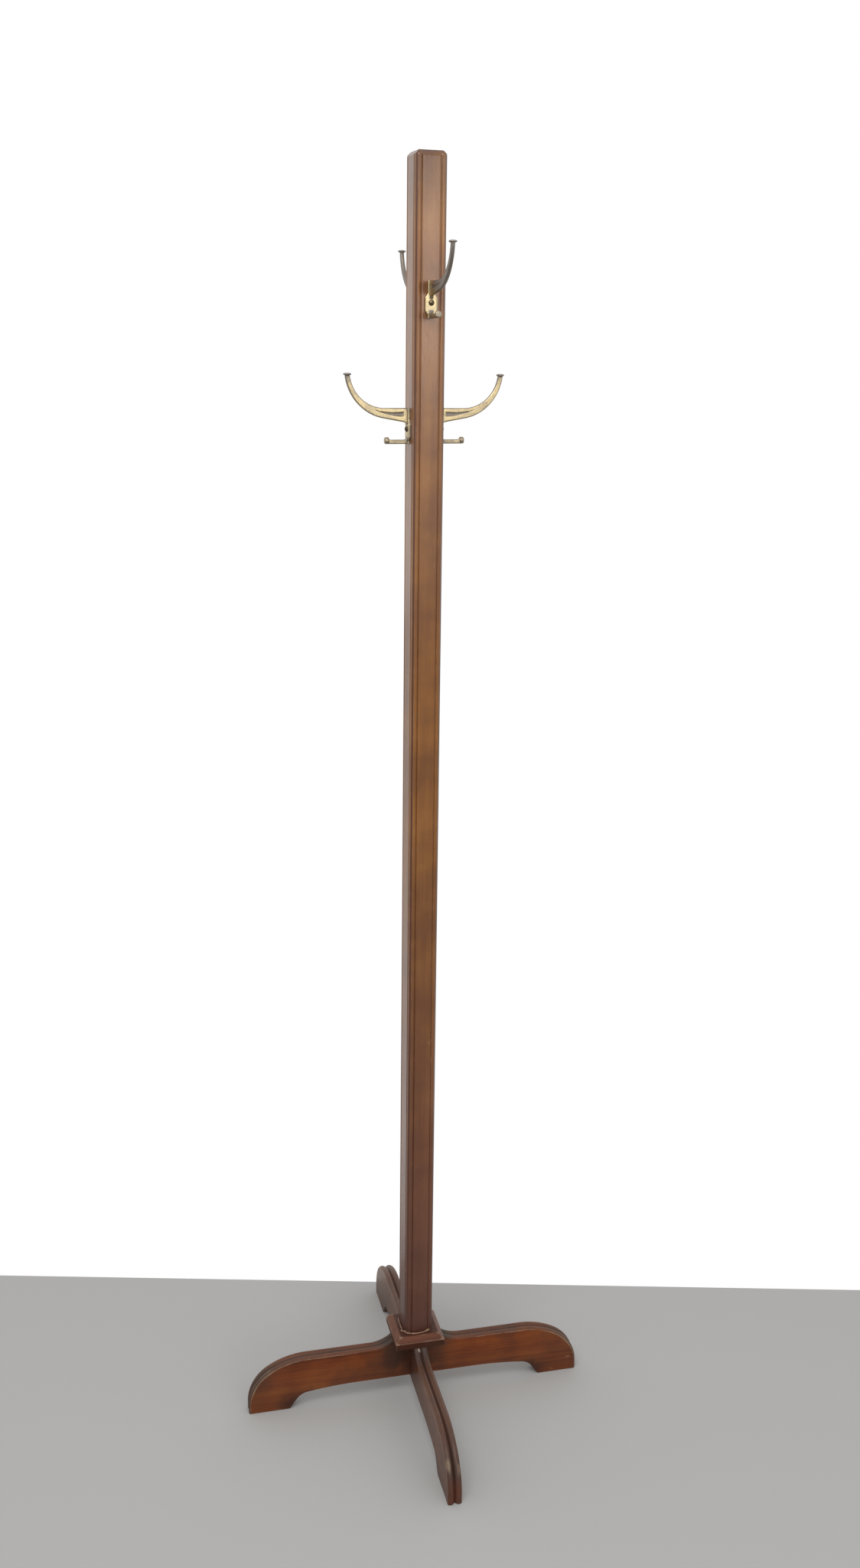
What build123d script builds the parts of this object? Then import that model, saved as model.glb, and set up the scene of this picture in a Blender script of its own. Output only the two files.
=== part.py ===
import os
from math import acos, cos, degrees, radians, sin, sqrt, tan

from build123d import *

# A square hardwood post stands on two crossed foot rails, with a bevelled collar plate between them
# and four cast hooks on its faces. Millimetres, origin on the floor under the post, front towards -Y.

# Overall sizes
stand_height = 1800
foot_span = 521
post_width = 42

# The post and its hooks stand turned a few degrees on the foot, anticlockwise from above
post_turn = 5

# Moulding along the corners of the post
corner_chamfer = 3
bead_width = 4.6
bead_drop = 0.7
quirk_width = 1.4
quirk_depth = 1.3
head_bevel_run = 5
head_bevel_drop = 5.5

# Foot rails, whose heights are above the floor
rail_thickness = 20.5
rail_top = 85
rail_seat = 97
cove_radius = 50
toe_upper_radius = 115
toe_upper_turn = 30
toe_tip_height = 12.5
pad_length = 62.5
pad_flank_run = 17
pad_flank_rise = 24
pad_flank_radius = 24
arch_height = 30.5
arch_shoulder = 51
arch_radius = 600

# Double reed along the top edge of a rail, run on a few degrees of the cove under the plate
reed_drop = 2.6
reed_groove_width = 2.6
reed_groove_depth = 4.2
reed_run_out = 0.3
reed_under_plate = 8
cutter_margin = 2

# Collar plate
plate_width = 76
plate_edge = 9.5
plate_bevel = 8

# Post foot and its screw
tenon_diameter = 25
tenon_gap = 0.5
post_screw_length = 127
post_screw_diameter = 6.4
post_screw_head = 12.4
post_screw_sink = 0.6
screw_slot_width = 1.4
screw_slot_depth = 1.6

# Cast hooks, measured out from the face of the post and down from the top of the hook's plate
hook_plate_height = 45.5
hook_plate_wide = 16.5
hook_plate_narrow = 9
hook_plate_thickness = 3
hook_plate_chamfer = 0.7
hook_shoulder_top = 15.5
hook_shoulder_slope = 5
hook_wide_height = 16.5
hook_reach = 83
arm_thickness = 4.8
arm_round = 1.7
arm_inner_radius = 46.4
arm_outer_radius = 62.3
arm_neck_width = 6.6
arm_neck_lean = 7
arm_root_slope = 10
arm_gusset = 4
panel_start = 9
panel_top = 5.2
panel_height = 5.4
panel_length = 37
panel_apex = 2.6
panel_sag = 1.6
panel_depth = 1
button_diameter = 10.4
button_rim = 2.2
button_crown = 0.6
button_flare = 4.2
button_neck = 4.2
peg_thickness = 5.5
peg_reach = 28
peg_gusset = 4
peg_upturn = 2.6
peg_round = 1.2
knob_diameter = 8.8
knob_length = 5.2
knob_round = 1.6

# Hook screws
hook_screw_drop = 26.5
hook_screw_diameter = 4.2
hook_screw_length = 19
hook_screw_head = 7.8
hook_screw_dome = 2.8
hook_slot_width = 1
hook_slot_depth = 1

# Tops of the hook plates, down from the head of the post
upper_hook_drop = 154
lower_hook_drop = 310.5

# Fits
lap_clearance = 0.1
tenon_clearance = 0.15
screw_clearance = 0.15

# Worked out from the sizes above
half_post = post_width / 2
half_rail = rail_thickness / 2
half_plate = plate_width / 2
half_span = foot_span / 2
plate_top = rail_seat + plate_edge + plate_bevel
lap_height = (arch_height + rail_seat) / 2
tenon_end = rail_seat + tenon_gap
post_screw_start = arch_height + post_screw_sink
upper_hook_height = stand_height - upper_hook_drop
lower_hook_height = stand_height - lower_hook_drop

cove_rise = rail_seat - rail_top
cove_angle = degrees(acos((cove_radius - cove_rise) / cove_radius))
cove_end = half_plate + sqrt(2 * cove_radius * cove_rise - cove_rise**2)
toe_sin = sin(radians(toe_upper_turn))
toe_cos = cos(radians(toe_upper_turn))
toe_lower_radius = toe_upper_radius - (toe_tip_height - rail_top + toe_upper_radius) / toe_cos
toe_start = half_span - toe_lower_radius - (toe_upper_radius - toe_lower_radius) * toe_sin
toe_lower_centre = (half_span - toe_lower_radius, toe_tip_height)
pad_inner = half_span - pad_length

hook_places = {
    "front": (270 + post_turn, upper_hook_height),
    "back": (90 + post_turn, upper_hook_height),
    "left": (180 + post_turn, lower_hook_height),
    "right": (post_turn, lower_hook_height),
}

os.makedirs("parts", exist_ok=True)


def write_piece(piece, name):
    piece.label = name
    export_step(piece, f"parts/{name}.step")


def draw_top_edge(under_plate, below_floor):
    # Cove, level stretch and two-arc toe, from the plate's edge out to the floor
    CenterArc(
        (cove_end, rail_top + cove_radius), cove_radius, 270 - cove_angle - under_plate, cove_angle + under_plate
    )
    Line((cove_end, rail_top), (toe_start, rail_top))
    CenterArc((toe_start, rail_top - toe_upper_radius), toe_upper_radius, 90, -toe_upper_turn)
    CenterArc(toe_lower_centre, toe_lower_radius, 90 - toe_upper_turn, toe_upper_turn - 90)
    Line((half_span, toe_tip_height), (half_span, -below_floor))


# One foot rail before its lap is cut: half of it is shaped and moulded, then mirrored
with BuildPart() as rail_blank:
    with BuildSketch(Plane.XZ):
        with BuildLine():
            Line((0, rail_seat), (half_plate, rail_seat))
            draw_top_edge(under_plate=0, below_floor=0)
            Line((half_span, 0), (pad_inner, 0))
            FilletPolyline(
                (pad_inner, 0),
                (pad_inner - pad_flank_run, pad_flank_rise),
                (pad_inner - pad_flank_run - arch_shoulder, arch_height),
                (0, arch_height),
                radius=[pad_flank_radius, arch_radius],
            )
            Line((0, arch_height), (0, rail_seat))
        make_face()
    extrude(amount=half_rail, both=True)
    with BuildLine(Plane.XZ) as reed_path:
        draw_top_edge(under_plate=reed_under_plate, below_floor=cutter_margin)
    path_start = Plane(origin=reed_path.line @ 0, x_dir=(0, 1, 0), z_dir=reed_path.line % 0)
    with BuildSketch(path_start) as reed_cutter:
        with BuildLine():
            Polyline(
                (0, -reed_groove_depth),
                (reed_groove_width / 2, -reed_drop),
            )
            ThreePointArc(
                (reed_groove_width / 2, -reed_drop),
                ((reed_groove_width / 2 + half_rail + reed_run_out) / 2, 0),
                (half_rail + reed_run_out, -reed_drop),
            )
            Polyline(
                (half_rail + reed_run_out, -reed_drop),
                (half_rail + cutter_margin, -reed_drop),
                (half_rail + cutter_margin, cutter_margin),
                (0, cutter_margin),
            )
            mirror(about=Plane.YZ)
        make_face()
    sweep(sections=reed_cutter.sketch, path=reed_path.line, mode=Mode.SUBTRACT)
    mirror(about=Plane.YZ)

# The rail across the picture keeps the lower half of the lap and takes the head of the post screw
with BuildPart() as foot_rail_left_right:
    add(rail_blank.part)
    with BuildSketch(Plane.XY.offset(lap_height)):
        Rectangle(rail_thickness + 2 * lap_clearance, rail_thickness + 2 * cutter_margin)
    extrude(amount=rail_seat, mode=Mode.SUBTRACT)
    with Locations(Plane(origin=(0, 0, arch_height), z_dir=(0, 0, -1))):
        CounterSinkHole(
            radius=post_screw_diameter / 2 + screw_clearance,
            counter_sink_radius=post_screw_head / 2 + post_screw_sink + screw_clearance,
            depth=lap_height - arch_height,
        )
write_piece(foot_rail_left_right.part, "foot_rail_left_right")

# The rail from front to back laps over it
with BuildPart() as foot_rail_front_back:
    add(rail_blank.part, rotation=(0, 0, 90))
    with BuildSketch(Plane.XY.offset(lap_height)):
        Rectangle(rail_thickness + 2 * cutter_margin, rail_thickness + 2 * lap_clearance)
    extrude(amount=-rail_seat, mode=Mode.SUBTRACT)
    with Locations((0, 0, rail_seat)):
        Hole(radius=post_screw_diameter / 2 + screw_clearance, depth=rail_seat - lap_height)
write_piece(foot_rail_front_back.part, "foot_rail_front_back")

# Square plate with a wide bevel, bored for the post's tenon
with BuildPart() as collar_plate:
    with BuildSketch(Plane.XY.offset(rail_seat)):
        Rectangle(plate_width, plate_width)
    extrude(amount=plate_edge + plate_bevel)
    chamfer(collar_plate.faces().sort_by(Axis.Z)[-1].edges(), length=plate_bevel)
    with Locations((0, 0, plate_top)):
        Hole(radius=tenon_diameter / 2 + tenon_clearance, depth=plate_edge + plate_bevel)
write_piece(collar_plate.part, "collar_plate")

# Post: one moulded section from the plate to the head, bevelled and bored on each face
with BuildPart() as post:
    with BuildSketch(Plane.XY.offset(plate_top).rotated((0, 0, post_turn))):
        with BuildLine():
            bead_end = half_post - corner_chamfer
            bead_start = bead_end - bead_width
            field_end = bead_start - quirk_width
            Polyline(
                (0, half_post),
                (field_end, half_post),
                (field_end + quirk_width / 2, half_post - quirk_depth),
                (bead_start, half_post - bead_drop),
            )
            ThreePointArc(
                (bead_start, half_post - bead_drop),
                ((bead_start + bead_end) / 2, half_post),
                (bead_end, half_post - bead_drop),
            )
            corner_middle = (bead_end + half_post - bead_drop) / 2
            Line((bead_end, half_post - bead_drop), (corner_middle, corner_middle))
            mirror(about=Plane(origin=(0, 0, 0), z_dir=(1, -1, 0)))
            mirror(about=Plane.YZ)
            mirror(about=Plane.XZ)
        make_face()
    extrude(amount=stand_height - plate_top)
    for angle, top_height in hook_places.values():
        bevel_side = Vector(half_post, 0, stand_height - head_bevel_drop).rotate(Axis.Z, angle)
        bevel_normal = Vector(head_bevel_drop, 0, head_bevel_run).rotate(Axis.Z, angle)
        split(bisect_by=Plane(origin=bevel_side, z_dir=bevel_normal), keep=Keep.BOTTOM)
        outward = Vector(1, 0, 0).rotate(Axis.Z, angle)
        screw_mouth = outward * half_post + Vector(0, 0, top_height - hook_screw_drop)
        with Locations(Plane(origin=screw_mouth, z_dir=outward)):
            Hole(
                radius=hook_screw_diameter / 2 + screw_clearance,
                depth=hook_screw_length - hook_plate_thickness + screw_clearance,
            )
    with BuildSketch(Plane.XY.offset(tenon_end)):
        Circle(tenon_diameter / 2)
    extrude(amount=plate_top - tenon_end)
    with BuildSketch(Plane.XY.offset(tenon_end)):
        Circle(post_screw_diameter / 2 + screw_clearance)
    extrude(amount=post_screw_start + post_screw_length + screw_clearance - tenon_end, mode=Mode.SUBTRACT)
write_piece(post.part, "post")

# Long countersunk screw from below, up through the lap and the plate into the post
with BuildPart() as post_screw:
    head_radius = post_screw_head / 2
    shank_radius = post_screw_diameter / 2
    with BuildSketch(Plane.XZ):
        with BuildLine():
            Polyline(
                (0, post_screw_start),
                (head_radius, post_screw_start),
                (shank_radius, post_screw_start + head_radius - shank_radius),
                (shank_radius, post_screw_start + post_screw_length - post_screw_diameter),
                (0, post_screw_start + post_screw_length),
                (0, post_screw_start),
            )
        make_face()
    revolve(axis=Axis.Z)
    with BuildSketch(Plane.XY.offset(post_screw_start)):
        Rectangle(post_screw_head, screw_slot_width)
    extrude(amount=screw_slot_depth, mode=Mode.SUBTRACT)
write_piece(post_screw.part, "post_screw")

# The hook is cast in one piece. It is drawn on a face at X = 0, with the top of its plate at Z = 0
with BuildPart() as hook_arm:
    lean_sin = sin(radians(arm_neck_lean))
    lean_cos = cos(radians(arm_neck_lean))
    neck_height = arm_inner_radius * (1 - lean_sin)
    neck_inner = hook_reach - arm_neck_width / 2
    neck_outer = hook_reach + arm_neck_width / 2
    inner_centre = (neck_inner - arm_inner_radius * lean_cos, arm_inner_radius)
    outer_centre = (neck_outer - arm_outer_radius * lean_cos, neck_height + arm_outer_radius * lean_sin)
    root_join = (
        outer_centre[0] + arm_outer_radius * sin(radians(arm_root_slope)),
        outer_centre[1] - arm_outer_radius * cos(radians(arm_root_slope)),
    )
    root_meet = root_join[1] - (root_join[0] - hook_plate_thickness) * tan(radians(arm_root_slope))
    root_low = root_meet - 2 * arm_gusset
    with BuildSketch(Plane.XZ):
        with BuildLine():
            Line((0, 0), (inner_centre[0], 0))
            CenterArc(inner_centre, arm_inner_radius, 270, 90 - arm_neck_lean)
            Line((neck_inner, neck_height), (neck_outer, neck_height))
            CenterArc(outer_centre, arm_outer_radius, -arm_neck_lean, arm_root_slope + arm_neck_lean - 90)
            FilletPolyline(
                root_join,
                (hook_plate_thickness, root_meet),
                (hook_plate_thickness, root_low),
                radius=arm_gusset,
            )
            Polyline((hook_plate_thickness, root_low), (0, root_low), (0, 0))
        make_face()
    extrude(amount=arm_thickness / 2, both=True)
    side_edges = hook_arm.faces().filter_by(Axis.Y).edges()
    long_edges = side_edges.filter_by(lambda edge: edge.center().X > hook_plate_thickness)
    fillet(long_edges.sort_by(Axis.Z)[:-2], radius=arm_round)
    # A sunk panel tapers to a point along each side
    panel_low = panel_top + panel_height
    panel_middle = panel_start + panel_length / 2
    panel_tip = (panel_start + panel_length, -panel_apex)
    for side in (-1, 1):
        with BuildSketch(Plane.XZ.offset(side * arm_thickness / 2)):
            with BuildLine():
                for edge_drop in (panel_top, panel_low):
                    ThreePointArc(
                        (panel_start, -edge_drop),
                        (panel_middle, -(edge_drop + panel_apex) / 2 - panel_sag),
                        panel_tip,
                    )
                Line((panel_start, -panel_top), (panel_start, -panel_low))
            make_face()
        extrude(amount=-side * panel_depth, mode=Mode.SUBTRACT)
    # Button on the end, flared out of the neck, with a half-round rim and a low crown
    rim_round = button_rim / 2
    rim_flat = button_diameter / 2 - rim_round
    with BuildSketch(Plane(origin=(hook_reach, 0, neck_height), x_dir=(1, 0, 0), z_dir=(0, -1, 0))):
        with BuildLine():
            Spline((button_neck / 2, -button_flare), (rim_flat, 0), tangents=[(0, 1), (1, 0)])
            ThreePointArc((rim_flat, 0), (button_diameter / 2, rim_round), (rim_flat, button_rim))
            TangentArc((0, button_rim + button_crown), (rim_flat, button_rim), tangent=(1, 0))
            Polyline((0, button_rim + button_crown), (0, -button_flare), (button_neck / 2, -button_flare))
        make_face()
    revolve(axis=Axis((hook_reach, 0, 0), (0, 0, 1)))

# Short lower arm, curved up to the plate and to the knob on its end
with BuildPart() as hook_peg:
    peg_low = -hook_plate_height
    peg_top = peg_low + peg_thickness
    with BuildSketch(Plane.XZ):
        with BuildLine():
            CenterArc((hook_plate_thickness + peg_gusset, peg_top + peg_gusset), peg_gusset, 180, 90)
            Line((hook_plate_thickness + peg_gusset, peg_top), (peg_reach - peg_upturn, peg_top))
            CenterArc((peg_reach - peg_upturn, peg_top + peg_upturn), peg_upturn, 270, 90)
            Polyline(
                (peg_reach, peg_top + peg_upturn),
                (peg_reach, peg_low),
                (0, peg_low),
                (0, peg_top + peg_gusset),
                (hook_plate_thickness, peg_top + peg_gusset),
            )
        make_face()
    extrude(amount=peg_thickness / 2, both=True)
    fillet(hook_peg.edges().filter_by(Axis.X).group_by(Axis.Z)[0], radius=peg_round)
    with BuildSketch(Plane.YZ.offset(peg_reach)):
        with Locations((0, peg_low + knob_diameter / 2)):
            Circle(knob_diameter / 2)
    extrude(amount=knob_length)
    fillet(hook_peg.faces().sort_by(Axis.X)[-1].edges(), radius=knob_round)

# Plate, wide round the screw and narrow above and below, with the two arms on it
with BuildPart() as coat_hook:
    wide_top = -hook_shoulder_top - hook_shoulder_slope
    wide_low = wide_top - hook_wide_height
    with BuildSketch(Plane.YZ):
        with BuildLine():
            Polyline(
                (0, 0),
                (hook_plate_narrow / 2, 0),
                (hook_plate_narrow / 2, -hook_shoulder_top),
                (hook_plate_wide / 2, wide_top),
                (hook_plate_wide / 2, wide_low),
                (hook_plate_narrow / 2, wide_low - hook_shoulder_slope),
                (hook_plate_narrow / 2, -hook_plate_height),
                (0, -hook_plate_height),
            )
            mirror(about=Plane.YZ)
        make_face()
    extrude(amount=hook_plate_thickness)
    plate_rim = coat_hook.faces().sort_by(Axis.X)[-1].edges()
    chamfer(plate_rim.sort_by(Axis.Z)[1:-1], length=hook_plate_chamfer)
    add(hook_arm.part)
    add(hook_peg.part)
    with Locations(Plane(origin=(hook_plate_thickness, 0, -hook_screw_drop), z_dir=(1, 0, 0))):
        Hole(radius=hook_screw_diameter / 2 + screw_clearance, depth=hook_plate_thickness)

# One round-headed hook screw, in the hook's own place
with BuildPart() as hook_screw:
    head_seat = hook_plate_thickness
    shank = hook_screw_diameter / 2
    tip = hook_plate_thickness - hook_screw_length
    dome_radius = ((hook_screw_head / 2) ** 2 + hook_screw_dome**2) / (2 * hook_screw_dome)
    with BuildSketch(Plane(origin=(0, 0, -hook_screw_drop), x_dir=(1, 0, 0), z_dir=(0, -1, 0))):
        with BuildLine():
            Polyline(
                (head_seat + hook_screw_dome, 0),
                (tip, 0),
                (tip + hook_screw_diameter, shank),
                (head_seat, shank),
                (head_seat, hook_screw_head / 2),
            )
            RadiusArc((head_seat, hook_screw_head / 2), (head_seat + hook_screw_dome, 0), dome_radius)
        make_face()
    revolve(axis=Axis((0, 0, -hook_screw_drop), (1, 0, 0)))
    with BuildSketch(Plane.YZ.offset(head_seat + hook_screw_dome)):
        with Locations((0, -hook_screw_drop)):
            Rectangle(hook_screw_head, hook_slot_width)
    extrude(amount=-hook_slot_depth, mode=Mode.SUBTRACT)

# Each face of the post gets its hook, and the four screws make one group
hook_spots = []
for name, (angle, top_height) in hook_places.items():
    face_middle = Vector(half_post, 0, top_height).rotate(Axis.Z, angle)
    spot = Location(face_middle, (0, 0, angle))
    hook_spots.append(spot)
    write_piece(coat_hook.part.moved(spot), f"hook_{name}")

with BuildPart() as hook_screws:
    with Locations(*hook_spots):
        add(hook_screw.part)
write_piece(hook_screws.part, "hook_screws")
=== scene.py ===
from math import acos, cos, degrees, hypot, pi, radians, sin, sqrt

import bmesh
import bpy
from mathutils import Matrix, Vector


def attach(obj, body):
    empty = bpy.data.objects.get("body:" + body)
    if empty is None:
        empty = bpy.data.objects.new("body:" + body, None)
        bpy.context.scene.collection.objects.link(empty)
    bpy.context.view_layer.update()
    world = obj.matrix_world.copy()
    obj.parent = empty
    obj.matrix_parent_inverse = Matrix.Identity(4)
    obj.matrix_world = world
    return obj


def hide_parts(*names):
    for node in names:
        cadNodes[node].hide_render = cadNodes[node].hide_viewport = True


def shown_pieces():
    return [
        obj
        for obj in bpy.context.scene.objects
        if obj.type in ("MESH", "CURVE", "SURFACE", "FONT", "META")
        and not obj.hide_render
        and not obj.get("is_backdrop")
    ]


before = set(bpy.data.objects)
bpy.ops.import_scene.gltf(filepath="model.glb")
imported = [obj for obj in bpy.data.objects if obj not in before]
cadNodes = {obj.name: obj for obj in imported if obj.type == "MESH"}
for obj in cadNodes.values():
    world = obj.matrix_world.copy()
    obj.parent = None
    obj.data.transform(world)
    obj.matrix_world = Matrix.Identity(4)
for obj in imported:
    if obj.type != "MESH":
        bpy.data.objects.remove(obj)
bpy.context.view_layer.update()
scene = bpy.context.scene
mm = 0.001
print("frame loaded with", len(cadNodes), "nodes")


class Values(dict):
    # a dictionary of values to change, which are also read as attributes
    __getattr__ = dict.__getitem__


# node helpers, used by the materials and by the geometry trees

def feed(socket, value):
    if isinstance(value, bpy.types.NodeSocket):
        socket.id_data.links.new(value, socket)
    else:
        socket.default_value = value


def addNode(tree, kind, inputs=(), **settings):
    # inputs come in order, or in a dictionary by name or number
    node = tree.nodes.new(kind)
    for name, value in settings.items():
        setattr(node, name, value)
    for key, value in inputs.items() if isinstance(inputs, dict) else enumerate(inputs):
        feed(node.inputs[key], value)
    return node


def wire(kind, inputs, **settings):
    # a node in the tree that its inputs come from
    values = inputs.values() if isinstance(inputs, dict) else inputs
    tree = next(v.id_data for v in values if isinstance(v, bpy.types.NodeSocket))
    return addNode(tree, kind, inputs, **settings)


def maths(operation):
    def node(*values):
        return wire("ShaderNodeMath", values, operation=operation).outputs[0]

    return node


plus, minus, times, over = (maths(k) for k in ("ADD", "SUBTRACT", "MULTIPLY", "DIVIDE"))
timesPlus, larger, wave, isOver = (maths(k) for k in ("MULTIPLY_ADD", "MAXIMUM", "SINE", "GREATER_THAN"))


def vectorCalc(operation, *values):
    inputs = {0: values[0], "Scale": values[1]} if operation == "SCALE" else values
    node = wire("ShaderNodeVectorMath", inputs, operation=operation)
    return node.outputs["Value" if operation == "LENGTH" else "Vector"]


def ease(value, low, high, fromLow=0.0, fromHigh=1.0):
    inputs = (value, low, high, fromLow, fromHigh)
    return wire("ShaderNodeMapRange", inputs, interpolation_type="SMOOTHSTEP").outputs[0]


def blend(factor, first, second, how="MIX"):
    inputs = {0: factor, 6: first, 7: second}
    return wire("ShaderNodeMix", inputs, data_type="RGBA", blend_type=how).outputs[2]


def cloud(vector, scale, detail):
    return wire("ShaderNodeTexNoise", {"Vector": vector, "Scale": scale, "Detail": detail}).outputs[0]


def colourStops(factor, stops):
    node = wire("ShaderNodeValToRGB", [factor])
    while len(node.color_ramp.elements) < len(stops):
        node.color_ramp.elements.new(0.5)
    for element, (position, colour) in zip(node.color_ramp.elements, stops):
        element.position = position
        element.color = (*colour, 1)
    return node.outputs[0]


def surfaceValue(tree, name):
    return addNode(tree, "ShaderNodeAttribute", attribute_name=name).outputs["Fac"]


def objectPlace(tree):
    return addNode(tree, "ShaderNodeTexCoord").outputs["Object"]


def splitXyz(vector):
    return list(wire("ShaderNodeSeparateXYZ", [vector]).outputs)


def joinXyz(*values):
    return wire("ShaderNodeCombineXYZ", values).outputs[0]


def bumpFrom(height, strength, distance):
    return wire("ShaderNodeBump", {"Strength": strength, "Distance": distance, "Height": height}).outputs[0]


def newMaterial(name, viewColour):
    material = bpy.data.materials.new(name)
    material.use_nodes = True
    material.diffuse_color = (*viewColour, 1)
    return material, material.node_tree


def shadeWith(tree, inputs):
    shader = tree.nodes["Principled BSDF"]
    for name, value in inputs.items():
        feed(shader.inputs[name], value)
    return shader.outputs[0]


# old polished hardwood: figure, streaks and pores along the grain, worn arrises, grime in the corners, and
# painted shade in places

# A pattern along the grain has its scale across it, its scale along it and its detail, a plain one its scale
# and detail. An edge is the pair of levels between which a pattern sets in.
woodPattern = Values(
    figure=(20, 1.3, 4.0), contour=(14, 0.7, 1.5), streak=(230, 4.5, 3.0),
    fleck=(900, 26, 2.0), pore=(1500, 75, 1.5), nick=(75, 22, 2.0),
    mottle=(17.0, 2.5), blotch=(22.0, 5.0), patch=(45.0, 4.0), gloss=(9.0, 3.0),
    poreEdge=(0.57, 0.70), nickEdge=(0.735, 0.765), blotchEdge=(0.46, 0.68), patchEdge=(0.30, 0.62),
    spotEdge=(0.3, 1.0), patchFloor=0.4, contours=58.0, contourShare=0.06, toneStops=(0.22, 0.48, 0.78),
    wearLevel=1.05, wearDetail=5.0, wearShare=1.1, footWear=(0.25, 0.9, 0.15, 1.0), footDull=(0.12, 0.45),
    glossSpread=0.16, poreRough=0.10, wornRough=0.16, coatRough=0.16,
    streakRelief=0.8, poreRelief=0.5, nickRelief=0.7, relief=(0.14, 0.0005),
)


def polishedWood(name, look):
    material, tree = newMaterial(name, look.mid)
    place = objectPlace(tree)
    xyz = splitXyz(place)
    turn, seed, w = "XYZ".index(look.grain), look.seed, woodPattern
    along, acrossA, acrossB = (xyz[(turn + k) % 3] for k in range(3))

    def grainCloud(kind, shift=0.0):
        across, lengthways, detail = w[kind]
        a, b = (timesPlus(value, across, shift) for value in (acrossA, acrossB))
        return cloud(joinXyz(a, b, times(along, lengthways)), 1.0, detail)

    def cover(factor, tint):
        return blend(factor, colour, (*tint, 1))

    streak = grainCloud("streak", seed)
    pore = ease(grainCloud("pore"), *w.poreEdge)
    nick = ease(grainCloud("nick", seed + 9), *w.nickEdge)
    contour = wave(times(grainCloud("contour", seed + 3), w.contours))
    tone = timesPlus(contour, w.contourShare, grainCloud("figure", seed))
    patterns = {"streak": streak, "fleck": grainCloud("fleck", seed), "mottle": cloud(place, *w.mottle)}
    for label, pattern in patterns.items():
        tone = timesPlus(minus(pattern, 0.5), look[label], tone)
    colour = colourStops(tone, list(zip(w.toneStops, (look.deep, look.mid, look.pale))))
    colour = cover(times(pore, look.poreStrength), look.pore)
    # painted shade: the colour is darkened towards the foot, where less light reaches, and a little at the
    # very top
    if "heightTint" in look:
        level = over(xyz[2], look.tintHeight)
        colour = blend(1.0, colour, colourStops(level, look.heightTint), "MULTIPLY")
    blotch = ease(cloud(place, *w.blotch), *w.blotchEdge, 0.0, look.blotch)
    colour = cover(blotch, look.get("blotchColour", look.grimeColour))

    # bare wood on the arrises, broken up so that the polish still holds in places
    worn = minus(surfaceValue(tree, "wear"), w.wearLevel)
    worn = timesPlus(cloud(place, look.wearScale, w.wearDetail), w.wearShare, worn)
    rubbed = times(ease(worn, 0.0, look.wearSoftness), look.wearStrength)
    if "dullFoot" in look:
        rubbed = times(rubbed, ease(xyz[2], *w.footWear))
    colour = cover(rubbed, look.bare)

    # grime held in quirks and grooves, with painted shade on some edges and near the plate, then spots in
    # their own places (stains and wear, and painted shade, shadow, reflection and sheen) and odd nicks
    grime = times(surfaceValue(tree, "grime"), look.grimeStrength)
    colour = cover(grime, look.grimeColour)
    patchy = ease(cloud(place, *w.patch), *w.patchEdge, w.patchFloor, 1.0)
    for middle, size, strength, tint in look.spots:
        gap = vectorCalc("DIVIDE", vectorCalc("SUBTRACT", place, middle), size)
        mark = ease(vectorCalc("LENGTH", gap), *w.spotEdge, strength, 0.0)
        colour = cover(times(mark, patchy) if strength < 1 else mark, tint)
    colour = cover(times(nick, look.nicks), look.bare)

    rough = timesPlus(cloud(place, *w.gloss), w.glossSpread, look.roughness - w.glossSpread / 2)
    rough = timesPlus(pore, w.poreRough, rough)
    rough = timesPlus(larger(rubbed, grime), w.wornRough, rough)
    if "dullFoot" in look:
        rough = plus(rough, ease(xyz[2], *w.footDull, look.dullFoot, 0.0))
    pits = timesPlus(pore, w.poreRelief, times(nick, w.nickRelief))
    height = minus(times(streak, w.streakRelief), pits)
    shadeWith(tree, {
        "Base Color": colour, "Roughness": rough, "Normal": bumpFrom(height, *w.relief),
        "Specular IOR Level": look.specular, "Coat Weight": look.coat, "Coat Roughness": w.coatRough,
    })
    return material


# each spot has its middle, its half sizes, its strength and its colour
postLook = Values(
    grain="Z", seed=1.7, streak=0.34, fleck=0.16, mottle=0.9, poreStrength=0.22, blotch=0.10,
    deep=(0.190, 0.066, 0.012), mid=(0.275, 0.105, 0.018), pale=(0.345, 0.147, 0.034),
    pore=(0.070, 0.026, 0.010), bare=(0.46, 0.25, 0.12), grimeColour=(0.070, 0.018, 0.006),
    # painted shade by height: darker towards the foot, where less light reaches, and a little at the very
    # top
    tintHeight=1.8,
    heightTint=(
        (0.05, (0.28, 0.18, 0.42)), (0.22, (0.60, 0.50, 0.90)), (0.48, (1.0, 1.0, 1.0)),
        (0.95, (1.0, 1.0, 1.0)), (0.985, (0.70, 0.72, 0.74)),
    ),
    wearScale=70.0, wearSoftness=0.45, wearStrength=0.5, grimeStrength=0.95, nicks=0.2,
    roughness=0.29, dullFoot=0.35, coat=0.42, specular=0.5,
    spots=[
        ((0, 0, 0.112), (0.09, 0.09, 0.055), 0.5, (0.062, 0.020, 0.010)),
        # painted shadow of the front hook on the polish beside its plate, and in the upper spot a painted
        # reflection of the brass
        ((-0.0066, -0.0216, 1.637), (0.010, 0.006, 0.012), 0.85, (0.120, 0.038, 0.008)),
        ((-0.0066, -0.0216, 1.602), (0.010, 0.006, 0.008), 0.8, (0.120, 0.038, 0.008)),
    ],
)
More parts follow.
